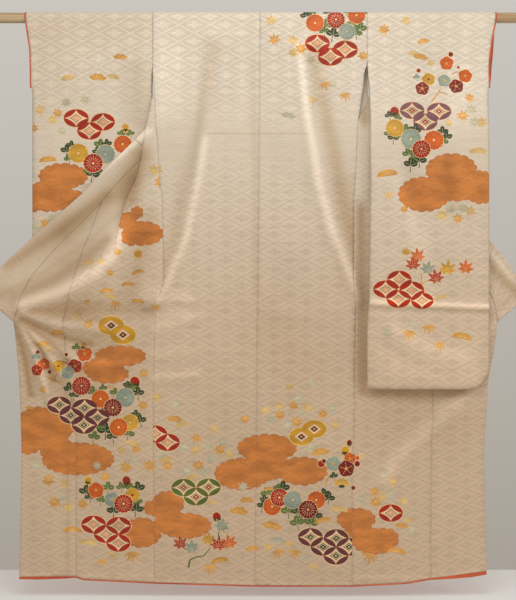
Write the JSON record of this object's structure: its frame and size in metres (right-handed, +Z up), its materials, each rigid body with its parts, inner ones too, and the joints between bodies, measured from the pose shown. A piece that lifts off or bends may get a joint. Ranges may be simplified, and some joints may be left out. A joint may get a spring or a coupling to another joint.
{
  "type": "furisode kimono on hanging rod",
  "caption": "Long-sleeved silk kimono hung open by its sleeves on a round wooden rod, fronts spread outward, collar behind, hem roll below.",
  "frame": {"origin": "middle of the hanging rod, on its axis", "axes": "+X along the rod to the right of the side that is seen (the garment's back), +Y away from that side, +Z up"},
  "size_m": [1.8, 0.1224, 1.6755],
  "materials": {
    "silk": "figured satin silk with dyed pattern",
    "lining": "plain orange-red silk",
    "wood": "plain, lightly sanded"
  },
  "bodies": {
    "root": {"rod": "wood", "body_left": "silk", "body_right": "silk", "okumi_left": "silk", "okumi_right": "silk", "sleeve_left": "silk", "sleeve_right": "silk", "collar": "silk", "overcollar": "silk", "cuff_edge_left": "lining", "cuff_edge_right": "lining", "hem_roll_left": "lining", "hem_roll_right": "lining"}
  },
  "joints": []
}
